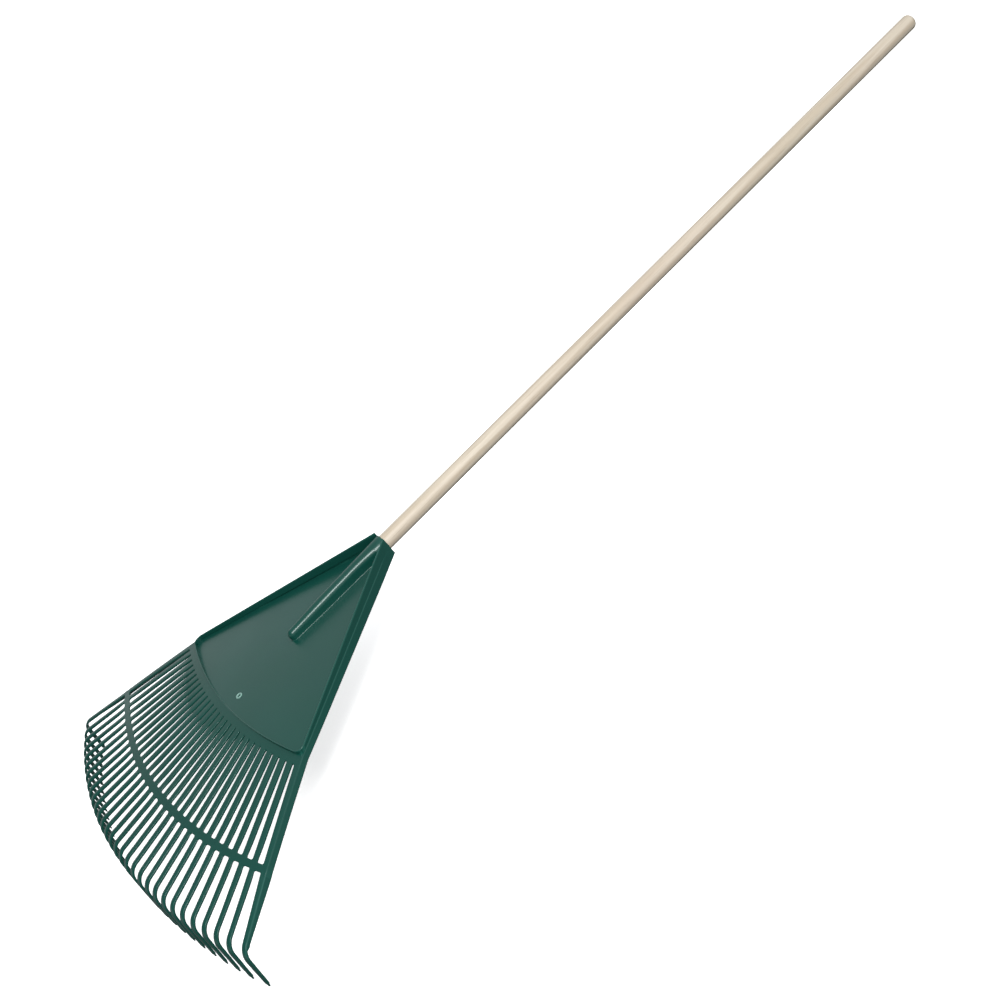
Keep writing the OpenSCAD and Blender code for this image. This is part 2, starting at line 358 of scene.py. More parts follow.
def mix(tree, share, a, b, blend="MIX"):
    m = node(tree, "ShaderNodeMix", data_type="RGBA", blend_type=blend)
    for source, place in ((share, 0), (a, 6), (b, 7)):
        if isinstance(source, bpy.types.NodeSocket):
            tree.links.new(source, m.inputs[place])
        else:
            m.inputs[place].default_value = source
    return m.outputs[2]


def bump(tree, shader, height, strength, distance, normal=None):
    b = node(tree, "ShaderNodeBump", Strength=strength, Distance=distance)
    tree.links.new(height, b.inputs["Height"])
    if normal:
        tree.links.new(normal, b.inputs["Normal"])
    tree.links.new(b.outputs["Normal"], shader.inputs["Normal"])
    return b.outputs["Normal"]


def moulding_material(name, paler=0.0):
    """Injection-moulded green polypropylene: a fine grain, faint flow marks and paler worn edges."""
    m, tree, shader = material(name)
    place = tree.nodes.new("ShaderNodeTexCoord").outputs["Object"]
    broad = noise(tree, place, 7.0, 2.0)
    cloudy = noise(tree, place, 45.0, 4.0, 0.6)
    base = ramp(tree, broad, [(0.3, (0.0031, 0.051, 0.037)), (0.7, (0.0048, 0.059, 0.045))])
    base = mix(tree, ramp(tree, cloudy, [(0.35, 0.0), (0.75, 0.35)]), base, (0.0043, 0.047, 0.041, 1))
    edges = tree.nodes.new("ShaderNodeNewGeometry").outputs["Pointiness"]
    worn = ramp(tree, edges, [(0.52, 0.0), (0.60, 0.45)])
    colour = mix(tree, worn, base, (0.017, 0.108, 0.084, 1))
    colour = mix(tree, paler, colour, (0.25, 0.42, 0.37, 1))
    tree.links.new(colour, shader.inputs["Base Color"])
    flow = noise(tree, place, 18.0, 2.0)
    rough = ramp(tree, flow, [(0.3, 0.28), (0.7, 0.31)])
    tree.links.new(rough, shader.inputs["Roughness"])
    shader.inputs["IOR"].default_value = 1.49
    shader.inputs["Specular IOR Level"].default_value = 0.43
    shader.inputs["Specular Tint"].default_value = (0.92, 1.0, 0.98, 1)
    waves = bump(tree, shader, noise(tree, place, 22.0, 2.0), 0.12, 0.0005)
    bump(tree, shader, noise(tree, place, 1100.0, 3.0), 0.06, 0.0002, waves)
    return m


def wood_material():
    """Pale turned hardwood: growth rings, long fibres, pores and a thin satin varnish."""
    m, tree, shader = material("pale_hardwood")
    place = tree.nodes.new("ShaderNodeTexCoord").outputs["Object"]
    turned = node(tree, "ShaderNodeMapping", Rotation=(0.0, 0.012, 0.017), Location=(0, 0.021, -0.034))
    tree.links.new(place, turned.inputs["Vector"])
    rings = node(tree, "ShaderNodeTexWave", wave_type="RINGS", rings_direction="X", Scale=42.0,
                 Distortion=3.0, Detail=3.0)
    rings.inputs["Detail Scale"].default_value = 1.2
    stretched = node(tree, "ShaderNodeMapping", Scale=(0.08, 1, 1))
    tree.links.new(turned.outputs["Vector"], stretched.inputs["Vector"])
    tree.links.new(stretched.outputs["Vector"], rings.inputs["Vector"])
    fibres = noise(tree, place, 260.0, 4.0, 0.6, (0.02, 1, 1))
    pores = noise(tree, place, 900.0, 2.0, 0.5, (0.03, 1, 1))
    broad = noise(tree, place, 5.0, 3.0, 0.5, (0.6, 2, 2))
    colour = ramp(tree, rings.outputs["Fac"], [(0.1, (0.52, 0.45, 0.345)), (0.8, (0.605, 0.545, 0.44))])
    colour = mix(tree, ramp(tree, fibres, [(0.35, 0.0), (0.7, 0.5)]), colour, (0.43, 0.35, 0.25, 1))
    colour = mix(tree, ramp(tree, broad, [(0.35, 0.0), (0.7, 0.35)]), colour, (0.54, 0.43, 0.35, 1))
    colour = mix(tree, ramp(tree, pores, [(0.60, 0.0), (0.75, 0.45)]), colour, (0.29, 0.22, 0.15, 1))
    tree.links.new(colour, shader.inputs["Base Color"])
    rough = ramp(tree, fibres, [(0.3, 0.42), (0.7, 0.58)])
    tree.links.new(rough, shader.inputs["Roughness"])
    shader.inputs["Coat Weight"].default_value = 0.15
    shader.inputs["Coat Roughness"].default_value = 0.3
    grain = bump(tree, shader, fibres, 0.25, 0.0002)
    bump(tree, shader, pores, 0.3, 0.0001, grain)
    return m


def steel_material():
    """Zinc-plated steel with fine scratches."""
    m, tree, shader = material("plated_steel")
    place = tree.nodes.new("ShaderNodeTexCoord").outputs["Object"]
    scratches = noise(tree, place, 2200.0, 3.0, 0.6, (1, 0.15, 1))
    cloudy = noise(tree, place, 700.0, 3.0)
    colour = ramp(tree, cloudy, [(0.3, (0.55, 0.55, 0.53)), (0.7, (0.68, 0.68, 0.66))])
    tree.links.new(colour, shader.inputs["Base Color"])
    tree.links.new(ramp(tree, scratches, [(0.3, 0.24), (0.7, 0.42)]), shader.inputs["Roughness"])
    shader.inputs["Metallic"].default_value = 1.0
    bump(tree, shader, scratches, 0.15, 0.00005)
    return m


def floor_material():
    """Plain white sweep, lit from below too, so that the shadows on it stay pale."""
    m, tree, shader = material("pale_floor")
    place = tree.nodes.new("ShaderNodeTexCoord").outputs["Object"]
    colour = ramp(tree, noise(tree, place, 1.5, 2.0), [(0.3, (0.87, 0.87, 0.87)), (0.7, (0.90, 0.90, 0.90))])
    tree.links.new(colour, shader.inputs["Base Color"])
    shader.inputs["Roughness"].default_value = 0.9
    shader.inputs["Specular IOR Level"].default_value = 0.1
    shader.inputs["Emission Color"].default_value = (1, 1, 1, 1)
    shader.inputs["Emission Strength"].default_value = 0.68
    return m


GREEN = moulding_material("green_polypropylene")
# Paler green for the gate ring: the moulding's colour mixed most of the way to a pale grey-green
PALE_GREEN = moulding_material("paler_polypropylene", 0.8)
WOOD = wood_material()
STEEL = steel_material()


# ---------- Head: band, inner tines and spreader bar ----------

def tine_row(i, arc, offset):
    """The points across a tine, beside an arc."""
    angle = tine_angle(i)
    half = tine_width(arc_distance(arc, angle) + offset) / 2
    row = []
    for k in range(TINE_POINTS):
        side = half * (k - 2) / 2
        row.append(beside_ray(arc_distance(arc, angle + side / 400) + offset, angle, side))
    return row


def gap_row(i, arc, offset, shape):
    """The points across the gap after tine i. The shape gives each one's place in the gap's width
    and how far it stands towards the mouth."""
    a, b = tine_row(i, arc, offset)[-1], tine_row(i + 1, arc, offset)[0]
    angle = tine_angle(i + 0.5)
    to_mouth = np.array([math.cos(angle), -math.sin(angle)])
    width = np.linalg.norm(b - a)
    return [a + (b - a) * place / width + lift * to_mouth for place, lift in shape(width)]


def round_end(width):
    """The slot's round end."""
    turns = [math.pi * k / (GAP_POINTS + 1) for k in range(1, GAP_POINTS + 1)]
    return [(width / 2 * (1 - math.cos(t)), width / 2 * math.sin(t)) for t in turns]


def filleted(sign):
    """The spreader bar's edge between two tines, filleted at both."""
    def shape(width):
        corner = [(FILLET * (1 - math.cos(t)), sign * FILLET * math.sin(t))
                  for t in (math.pi / 6, math.pi / 3, math.pi / 2)]
        return corner + [(width / 2, sign * FILLET)] + [(width - p, s) for p, s in reversed(corner)]
    return shape


def field_row(arc, offset, shape):
    """A whole row across the field: the tines' points and the gaps' points."""
    row = []
    for i in range(TINES):
        row += tine_row(i, arc, offset)
        if i < TINES - 1:
            row += gap_row(i, arc, offset, shape)
    return row


def field():
    """The band, the inner tines and the spreader bar, in one sheet."""
    band_rows, tine_rows = 3, 7
    pitch = TINE_POINTS + GAP_POINTS
    slots = field_row(SLOT_ARC, 0, round_end)
    bar_top = field_row(BAR_ARC, -BAR_W / 2 - FILLET, filleted(-1))
    bar_end = field_row(BAR_ARC, BAR_W / 2 + FILLET, filleted(1))
    bar_mid = [(a + b) / 2 for a, b in zip(bar_top, bar_end)]
    on_tine = [k % pitch < TINE_POINTS for k in range(len(slots))]
    step = []
    for p in slots:
        angle = math.atan2(p[1], FAN_X - p[0])
        step.append(beside_ray(arc_distance(STEP_ARC, angle) - 1.0, angle))
    rows = [[lerp(a, b, r / band_rows) for a, b in zip(step, slots)] for r in range(band_rows + 1)]
    rows += [[lerp(a, b, r / tine_rows) if t else None for a, b, t in zip(slots, bar_top, on_tine)]
             for r in range(1, tine_rows)]
    rows += [bar_top, bar_mid, bar_end]
    plan, dome, deeper, index = [], [], [], []
    for r, row in enumerate(rows):
        line = []
        between = band_rows < r < band_rows + tine_rows
        for k, p in enumerate(row):
            if p is None:
                line.append(None)
                continue
            line.append(len(plan))
            plan.append(p)
            dome.append(TINE_DOME * (1 - ((k % pitch - 2) / 2) ** 2) if between else 0.0)
            deeper.append(TINE_DEEPER if between or r == band_rows else 0.0)
        index.append(line)
    quads = []
    for upper, lower in zip(index, index[1:]):
        for k in range(len(upper) - 1):
            quad = (upper[k], upper[k + 1], lower[k + 1], lower[k])
            if None not in quad:
                quads.append(quad)
    return sheet(plan, quads, field_height, WALL, dome=dome, deeper=deeper)


# ---------- Head: pan ----------

def pan_path():
    """Centre line of the pan's wall on the +Y side, from the mouth along the flange, round the
    corner and along the lip: (point, outward direction, top height, bottom height, thickness)."""
    run = np.array([CORNER[0], CORNER[1] - HALF_MOUTH])
    run /= np.linalg.norm(run)
    out = np.array([run[1], -run[0]])
    start = np.array([0, HALF_MOUTH]) - WALL / 2 * out
    start += run * (-start[0] / run[0])
    centre = np.array([STEP_ARC[1] - STEP_ARC[0], 0.0])
    radius = STEP_ARC[1] - WALL / 2
    inner = start - CORNER_ROUND * out - centre
    b, c = inner @ run, inner @ inner - (radius - CORNER_ROUND) ** 2
    reach = -b + math.sqrt(b * b - c)
    hub = centre + inner + reach * run
    to_arc = (hub - centre) / np.linalg.norm(hub - centre)

    def flange_top(x):
        return lerp(HALF_MOUTH, CORNER[2], x / CORNER[0])

    def crease(x):
        return lerp(0.0, PLATE_Z - 8.3, x / CORNER[0])

    def lip_top(y):
        return plate_height(0, y) + 0.4 + LIP_H * abs(y) / CORNER[1]

    stations = []
    for k in range(FLANGE_STEPS):
        p = start + run * reach * k / FLANGE_STEPS
        outward = out if k else np.array([0, 1 / out[1]])
        stations.append((p, outward, flange_top(p[0]), crease(p[0]), WALL))
    turn_from = math.atan2(out[1], out[0])
    turn_to = math.atan2(to_arc[1], to_arc[0])
    for k in range(TURN_STEPS + 1):
        t = k / TURN_STEPS
        angle = lerp(turn_from, turn_to, t)
        o = np.array([math.cos(angle), math.sin(angle)])
        p = hub + CORNER_ROUND * o
        top = lerp(flange_top(p[0]), lip_top(p[1]), smooth(t))
        foot = lerp(crease(p[0]), plate_height(0, p[1]) - WALL / 2, t)
        stations.append((p, o, top, foot, lerp(WALL, LIP_T, t)))
    arc_start = math.asin(to_arc[1])
    lip_steps = 24
    for k in range(1, lip_steps + 1):
        angle = arc_start * (1 - k / lip_steps)
        o = np.array([-math.cos(angle), math.sin(angle)])
        p = centre + radius * o
        stations.append((p, o, lip_top(p[1]), plate_height(0, p[1]) - WALL / 2, LIP_T))
    return stations


def flat3(v):
    return np.array([v[0], v[1], 0.0])


def pan_wall(path):
    """The whole rim in one piece, from the +Y side of the mouth to the -Y side."""
    flip = np.array([1, -1])
    both = path + [(p * flip, o * flip, *rest) for p, o, *rest in reversed(path[:-1])]
    stations = []
    for p, o, top, bottom, thickness in both:
        stations.append((flat3(p), flat3(o), Z_AXIS, (0, top - thickness / 2), (0, bottom), thickness))
    return wall(stations)


def plate(path):
    """The pan's floor, in rows between pairs of points of its wall's centre line."""
    columns = 36
    plan, quads = [], []
    rows = [p for p, *_ in path[:-1]]
    for p in rows:
        plan += [np.array([p[0], lerp(-p[1], p[1], k / columns)]) for k in range(columns + 1)]
    for r in range(len(rows) - 1):
        for k in range(columns):
            a = r * (columns + 1) + k
            quads.append((a, a + 1, a + columns + 2, a + columns + 1))
    return sheet(plan, quads, plate_height, WALL, 0.3)


def skirt_section(out, drop, thickness=WALL):
    """Centres of the round ends of a skirt's section, below and outside the edge that it hangs from."""
    r = thickness / 2
    length = math.hypot(out, drop)
    n = np.array([drop, out]) / length
    a1 = (-r + r * n[1]) / n[0] if drop else -r
    foot = np.array([out, -drop]) - r * n - r * np.array([out, -drop]) / length
    return (a1, -r), tuple(foot)


def side_skirt(sign):
    """The flange's lower half and the skirt beside the outermost tine, down to the bar."""
    stations = []
    along = np.array([math.sin(HALF_FAN), math.cos(HALF_FAN)])
    start = arc_distance(STEP_ARC, HALF_FAN)
    end = arc_distance(BAR_ARC, HALF_FAN) + BAR_W / 2 + FILLET
    top = beside_ray(start, HALF_FAN, tine_width(start) / 2)
    corner_top = np.array([top[0], top[1], field_height(*top)])
    corner_a, corner_b = skirt_section(SKIRT_OUT, SKIRT_DROP)
    steps = 14
    for k in range(steps):
        t = k / steps
        base = lerp(np.array([0, HALF_MOUTH, 0.0]), corner_top, t)
        ledge = np.array([LEDGE * min(1.0, 6 * t, 6 * (1 - t)), 0])
        a = lerp(np.array([-WALL / 2, 0]), np.array(corner_a), t) + ledge
        b = lerp(np.array([-WALL / 2, WALL / 2 - HALF_MOUTH]), np.array(corner_b), t) + ledge
        o = along if k else np.array([0, 1.0])
        stations.append((base, flat3(o), Z_AXIS, a, b, WALL))
    for k in range(11):
        distance = lerp(start, end, k / 10)
        p = beside_ray(distance, HALF_FAN, tine_width(distance) / 2)
        base = np.array([p[0], p[1], field_height(*p) - 0.02])
        stations.append((base, flat3(along), Z_AXIS, corner_a, corner_b, WALL))
    mirror = np.array([1, sign, 1])
    stations = [(b * mirror, e1 * mirror, e2, p, q, t) for b, e1, e2, p, q, t in stations]
    return wall(stations)


def corner_web(path, sign):
    """Web that fills the corner between the rounded rim, the flange and the step."""
    start, end = path[FLANGE_STEPS], path[FLANGE_STEPS + TURN_STEPS]
    hub = start[0] - CORNER_ROUND * start[1]
    first, last = (math.atan2(o[1], o[0]) for o in (start[1], end[1]))
    steps = 16
    plan = []
    for k in range(steps + 1):
        angle = lerp(first, last, k / steps)
        to_flange = (CORNER_ROUND + 0.9) / max(0.2, math.cos(angle - first))
        to_step = (CORNER_ROUND + WALL) / max(0.2, math.cos(last - angle))
        for reach in (CORNER_ROUND - 0.4, min(to_flange, to_step)):
            plan.append(hub + reach * np.array([math.cos(angle), math.sin(angle)]))
    n = len(plan)
    verts = [(x, sign * y, field_height(x, y) - 0.05 - depth) for depth in (0, WALL) for x, y in plan]
    faces = [(1, 0, n, n + 1), (n - 2, n - 1, 2 * n - 1, 2 * n - 2)]
    for a in range(0, n - 2, 2):
        b, c, d = a + 1, a + 3, a + 2
        faces += [(a, b, c, d), (d + n, c + n, b + n, a + n), (a, d, d + n, a + n), (c, b, b + n, c + n)]
    return verts, [tuple(reversed(f)) for f in faces] if sign < 0 else faces


# ---------- Head: tube, socket, back ----------

def tube_shape(distance):
    """Half width and height of the top of the tube, with the corners between its stations smoothed."""
    near = [abs(distance + d) for d in (-12, -6, 0, 6, 12)]
    where = [t[0] for t in TUBE]
    return [float(np.mean(np.interp(near, where, [t[k] for t in TUBE]))) for k in (1, 2)]


def flange_beside(distance):
    """Half the room between the flanges' inner faces."""
    return 12.9 + distance * math.tan(math.radians(31))


def socket_tube():
    """The tube over the handle where it stands out of the plate: a round top, upright sides, a domed
    end and a hollow foot."""
    straight, turn, over, foot_steps = 22, 10, 8, 6
    last = TUBE[-1][0]
    foot = [(TUBE_FOOT_R + 0.4, -1.2)]
    for t in (math.pi / 2 * k / foot_steps for k in range(foot_steps + 1)):
        foot.append((TUBE_FOOT_R * (1 - math.sin(t)), TUBE_FOOT_R * (1 - math.cos(t)) + 0.03))

    def ring(share, widen, height, over_plate):
        points = []
        for k in range(straight):
            distance = lerp(0.3, last, k / straight)
            half, top = tube_shape(distance)
            points.append((-distance, min(half * share + widen, flange_beside(distance)), half, top))
        half, top = tube_shape(last)
        for k in range(turn + 1):
            t = math.pi / 2 * k / turn
            reach = half * share + widen
            points.append((-last - reach * math.sin(t), reach * math.cos(t), half, top))
        points += [(x, -y, h, t) for x, y, h, t in reversed(points[:-1])]
        if over_plate:
            return [(x, y, plate_height(x, y) + height) for x, y, _, _ in points]
        return [(x, y, t - h + height * h) for x, y, h, t in points]

    rings = [ring(1.0, widen, height, True) for widen, height in foot]
    for t in (math.pi / 2 * k / over for k in range(over + 1)):
        rings.append(ring(max(math.cos(t), 0.03), 0.0, math.sin(t), False))
    n = len(rings[0])
    verts = [p for r in rings for p in r]
    faces = []
    for r in range(len(rings) - 1):
        faces += [(r * n + k, r * n + k + 1, (r + 1) * n + k + 1, (r + 1) * n + k) for k in range(n - 1)]
    for base in (0, (len(rings) - 1) * n):
        for k in range((n - 1) // 2 - 1):
            faces.append((base + k, base + n - 1 - k, base + n - 2 - k, base + k + 1))
        k = (n - 1) // 2 - 1
        faces.append((base + k, base + n - 1 - k, base + k + 1))
    mouth = [r * n for r in range(len(rings))] + [r * n + n - 1 for r in reversed(range(len(rings)))]
    faces.append(tuple(mouth))
    return verts, faces


def lathe(profile, segments=64, axis_x=True):
    """Closed solid of revolution about the X axis, or about the Z axis: (along, radius) pairs."""
    verts, faces = [], []
    for along, r in profile:
        for k in range(segments):
            t = 2 * math.pi * k / segments
            u, v = r * math.cos(t), r * math.sin(t)
            verts.append((along, u, v) if axis_x else (u, v, along))
    for row in range(len(profile) - 1):
        for k in range(segments):
            a, b = row * segments + k, row * segments + (k + 1) % segments
            faces.append((a, b, b + segments, a + segments))
    faces.append(tuple(reversed(range(segments))))
    faces.append(tuple((len(profile) - 1) * segments + k for k in range(segments)))
    return verts, faces


def collar():
    """Collar round the mouth: a round top that runs on into the tube, and a square foot."""
    def section(x, half, corner, r):
        points = [(x, r * math.cos(t), r * math.sin(t)) for t in (math.pi * k / 16 for k in range(17))]
        for cy, start in ((-1, math.pi), (1, 1.5 * math.pi)):
            for k in range(4):
                t = start + math.pi / 2 * k / 3
                y = cy * (half - corner) + corner * math.cos(t)
                points.append((x, y, corner - half + corner * math.sin(t)))
        return points
    return loft([
        section(-0.02, 13.55, 1.0, 13.05), section(-0.15, 13.85, 1.1, 13.3),
        section(-0.5, 13.97, 1.2, 13.45), section(-17.0, 13.97, 1.2, 12.7),
        section(-17.7, 13.7, 1.2, 12.6), section(-18.0, 13.1, 1.2, 12.0),
    ])


def boss():
    """Round housing behind the plate, over the handle's tapered end."""
    profile = [(-1.0, HANDLE_R + WALL)]
    for x0, x1, r0, r1 in ((-1, -TAPER_MID, HANDLE_R + WALL, TAPER_MID_R + WALL - 0.1),
                           (-TAPER_MID, -SOCKET_DEPTH, TAPER_MID_R + WALL - 0.1, 6.6)):
        profile += [(lerp(x0, x1, k / 6), lerp(r0, r1, k / 6)) for k in range(1, 7)]
    end_r = 3.6
    profile += [(-SOCKET_DEPTH - end_r * math.sin(t), 3.0 + end_r * math.cos(t))
                for t in (0.4, 0.8, 1.2, math.pi / 2)]
    return lathe(profile, 48)


def stiffener(angle_deg):
    """Thin rib behind the plate, along a ray."""
    angle = math.radians(angle_deg)
    end = arc_distance(STEP_ARC, angle) - 4
    stations = []
    side = np.array([math.sin(angle), math.cos(angle), 0])
    for k in range(11):
        distance = lerp(58, end, k / 10)
        x, y = beside_ray(distance, angle)
        low = lerp(1.5 - HALF_MOUTH, plate_height(x, y) - WALL - 0.9, k / 10)
        top = plate_height(x, y) - 1.1
        stations.append((np.array([x, y, 0]), side, Z_AXIS, (0, top), (0, low + 0.9), 1.9))
    return wall(stations)


def build_gate_ring():
    """Plain raised ring that the mould's gate leaves on the plate."""
    x0, y0 = GATE_RING
    r, height, half = 3.6, 1.1, 1.1
    profile = [(-1.0, r - half)]
    profile += [(height * math.sin(t), r - half * math.cos(t)) for t in (math.pi * k / 8 for k in range(9))]
    profile += [(-1.0, r + half)]
    segments = 32
    verts, faces = [], []
    for z, radius in profile:
        for k in range(segments):
            t = 2 * math.pi * k / segments
            verts.append((x0 + radius * math.cos(t), y0 + radius * math.sin(t), PLATE_Z + z))
    rows = len(profile)
    for row in range(rows):
        for k in range(segments):
            a, b = row * segments + k, row * segments + (k + 1) % segments
            c, d = (a + segments) % (rows * segments), (b + segments) % (rows * segments)
            faces.append((a, b, d, c))
    obj = new_object("gate_ring", verts, faces, PALE_GREEN)
    shade(obj)
    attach(obj, "head")


def build_head():
    """The whole moulding, joined from closed parts, with the handle's bore and the screw's hole."""
    path = pan_path()
    parts = [field(), plate(path), pan_wall(path), side_skirt(1), side_skirt(-1),
             socket_tube(), collar(), boss()]
    parts += [stiffener(a) for a in STIFFENERS] + [corner_web(path, 1), corner_web(path, -1)]
    head, *others = [new_object(f"part_{k}", *part) for k, part in enumerate(parts)]
    boolean(head, others, "UNION")
    bore = new_object("bore", *lathe([(2.0, 11.2), (0.0, 11.2), (-TAPER_MID, TAPER_MID_R + 0.1),
                                       (-SOCKET_DEPTH - 0.1, TAPER_END_R + 0.1)], 64))
    hole = new_object("hole", *lathe([(-HALF_MOUTH - 1, SCREW_R + 0.1), (-3.0, SCREW_R + 0.1)], 32, False))
    hole.data.transform(Matrix.Translation((SCREW_X * MM, 0, 0)))
    boolean(head, [bore, hole], "DIFFERENCE")
    head.name = "head_moulding"
    head.data.materials.clear()
    head.data.materials.append(GREEN)
    shade(head)
    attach(head, "head")
    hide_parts("head")


# ---------- Tine ends ----------

def tine_section(half_w, half_t, corner, dome):
    """Rounded section of a tine, with a slightly domed face."""
    points = []
    corners = [(1, 1), (-1, 1), (-1, -1), (1, -1)]
    for sx, sy in corners:
        cx, cy = sx * (half_w - corner), sy * (half_t - corner)
        start = {(1, 1): 0, (-1, 1): 1, (-1, -1): 2, (1, -1): 3}[(sx, sy)] * math.pi / 2
        arc = [(cx + corner * math.cos(start + t), cy + corner * math.sin(start + t))
               for t in (0, math.pi / 4, math.pi / 2)]
        points += arc
        if (sx, sy) == (1, 1):
            points += [(half_w * s, half_t + dome * (1 - s * s)) for s in (0.4, 0.0, -0.4)]
        if (sx, sy) == (-1, -1):
            points += [(half_w * s, -half_t) for s in (-0.4, 0.0, 0.4)]
    return points


def tine_path(i):
    """A tine end's stations, each its centre, the section's two axes, the distance along the straight
    part, the distance to the tip and the normal. The root's and the bend's distances, the straight part's
    length, the root's place and the tine's two directions come with them."""
    angle = tine_angle(i)
    root = arc_distance(BAR_ARC, angle) + BAR_W / 2 + STUB_LEN
    bend = arc_distance(BEND_ARC, angle) + BEND_PAST
    begin = root - STUB_LEN - 1.5
    heading = angle + (-SPLAY if i == 0 else SPLAY if i == TINES - 1 else 0)
    away = np.array([-math.cos(heading), math.sin(heading), 0])
    side = np.array([math.sin(heading), math.cos(heading), 0])
    root_plan = flat3(beside_ray(root, angle))

    def on_field(distance):
        x, y, _ = root_plan + (distance - root) * away
        return np.array([x, y, field_height(x, y) - WALL / 2])

    root_at, bend_at = on_field(root), on_field(bend)
    chord = (bend_at - root_at) / np.linalg.norm(bend_at - root_at)
    slope = math.asin(chord[2])
    turn = slope + TIP_ANGLE
    tangent = BEND_R * math.tan(turn / 2)
    bend_start = bend_at - tangent * chord
    up = np.cross(chord, side)
    up *= math.copysign(1, up[2])
    hub = bend_start - BEND_R * up
    y = root_at[1]
    lean = math.asin(y / FIELD_CROWN_R) * math.cos(angle)
    points = []
    for k in range(3):
        points.append((lerp(on_field(begin), root_at, k / 3), chord))
    for k in range(12):
        points.append((lerp(root_at, bend_start, k / 12), chord))
    for k in range(11):
        a = turn * k / 10
        points.append((hub + BEND_R * (up * math.cos(a) + chord * math.sin(a)),
                       chord * math.cos(a) - up * math.sin(a)))
    arc_end, down = points[-1]
    tip = bend_at + down * TIP_LEN
    length = np.linalg.norm(tip - arc_end)
    tip_steps = [9.0, 7.0, 5.7, 5.1, 4.5, 3.9, 3.4, 2.0, 0.9, 0.4, 0.1, 0.0]
    for back in [length * (1 - k / 6) for k in range(1, 5)] + tip_steps:
        points.append((tip - down * back, down))
    stations = []
    travelled = 0.0
    for k, (p, t) in enumerate(points):
        if k:
            travelled += np.linalg.norm(p - points[k - 1][0])
        stations.append([p, t, travelled])
    total = travelled
    out = []
    bend_length = np.linalg.norm(bend_start - root_at)
    for p, t, s in stations:
        along = (p - root_at) @ chord
        roll = lean * (1 - smooth(along / bend_length))
        n = np.cross(t, side)
        n *= math.copysign(1, n @ up) if abs(n @ up) > 1e-6 else 1
        e1 = side * math.cos(roll) - n * math.sin(roll)
        e2 = n * math.cos(roll) + side * math.sin(roll)
        out.append((p, e1, e2, along, total - s, n))
    return out, root, bend, bend_length, root_at, away, side


def build_tine(i):
    """A tine end with its shouldered tip. The outermost ones carry a skirt down to their bend."""
    name = f"tine_{i + 1:02d}"
    stations, root, bend, bend_length, root_at, away, side = tine_path(i)
    rings = []
    last_along = bend - root
    for p, e1, e2, along, to_tip, _ in stations:
        half_w = tine_width(root + min(along, last_along)) / 2
        below = max(0.0, 44.0 - to_tip) / 44.0
        half_w = lerp(half_w, TIP_W / 2 + 0.5, below)
        half_t = lerp(WALL / 2, 1.0, below)
        if to_tip < 6.0:
            half_w *= lerp(0.5, 1.0, smooth((to_tip - 3.6) / 2.0)) * lerp(0.8, 1.0, min(1.0, to_tip / 3.6))
            half_t *= lerp(0.75, 1.0, smooth(to_tip / 5.0))
        if to_tip < 1.0:
            shrink = math.sqrt(max(0.05, 1 - (1 - to_tip) ** 2))
            half_w *= shrink
            half_t *= shrink
        shy = 0.03 * (1 - smooth((along + 4) / 6))
        corner = min(0.55, half_t * 0.6, half_w * 0.6)
        dome = TINE_DOME * min(1.0, half_w / 3.7) * smooth((along + 2) / 8)
        section = tine_section(half_w - shy, half_t - shy, corner, dome)
        deeper = TINE_DEEPER * smooth((along + 1) / 10) * (1 - below)
        rings.append([p + u * e1 + (v - deeper if v < 0 else v) * e2 for u, v in section])
    obj = new_object(f"{name}_end", *loft(rings))
    if i in (0, TINES - 1):
        sign = -1 if i == 0 else 1
        skirt = []
        for p, e1, e2, along, to_tip, n in stations:
            s = along / bend_length
            if along > bend_length + 14.5:
                break
            fade = 1 - smooth((along - bend_length - 4) / 10)
            out = lerp(SKIRT_OUT, SKIRT_OUT_BEND, min(1, max(0, s))) * max(fade, 0.08)
            drop = lerp(SKIRT_DROP, SKIRT_DROP_BEND, min(1, max(0, s))) * max(fade, 0.08)
            half = tine_width(root + min(along, last_along)) / 2
            thick = min(WALL - 0.08, math.hypot(out, drop) * 0.7)
            a, b = skirt_section(out, drop, thick)
            edge = p + e2 * (WALL / 2 - 0.05) + e1 * sign * (half - 0.05)
            skirt.append((edge, side * sign, n, a, b, thick))
        boolean(obj, [new_object("skirt", *wall(skirt))], "UNION")
    obj.data.materials.clear()
    obj.data.materials.append(GREEN)
    shade(obj)
    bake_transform(obj)
    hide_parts(name)


# ---------- Handle and screw ----------

def build_handle():
    """The turned handle, from its tapered end to its rounded one, with the screw's hole."""
    profile = [(-SOCKET_DEPTH, TAPER_END_R - 0.6), (-SOCKET_DEPTH + 0.6, TAPER_END_R)]
    profile += [(lerp(-SOCKET_DEPTH, -TAPER_MID, k / 6), lerp(TAPER_END_R, TAPER_MID_R, k / 6))
                for k in range(1, 7)]
    profile += [(lerp(-TAPER_MID, 0, k / 4), lerp(TAPER_MID_R, HANDLE_R, k / 4)) for k in range(1, 5)]
    straight = HANDLE_END_X - END_ROUND
    profile += [(straight * k / 24, HANDLE_R) for k in range(1, 25)]
    for k in range(1, 13):
        t = math.pi / 2 * k / 12
        profile.append((straight + END_ROUND * math.sin(t), HANDLE_R - END_ROUND * (1 - math.cos(t))))
    profile += [(HANDLE_END_X, 2.0), (HANDLE_END_X, 1.0)]
    obj = new_object("handle_turned", *lathe(profile, 72), WOOD)
    hole_r = SCREW_R + 0.05
    hole = new_object("handle_hole", *lathe([(-HALF_MOUTH, hole_r),
                                             (SCREW_LEN - HALF_MOUTH + 0.1, hole_r)], 32, False))
    hole.data.transform(Matrix.Translation((SCREW_X * MM, 0, 0)))
    boolean(obj, [hole], "DIFFERENCE")
    obj.data.materials.clear()
    obj.data.materials.append(WOOD)
    shade(obj)
    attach(obj, "head")
    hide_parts("handle")


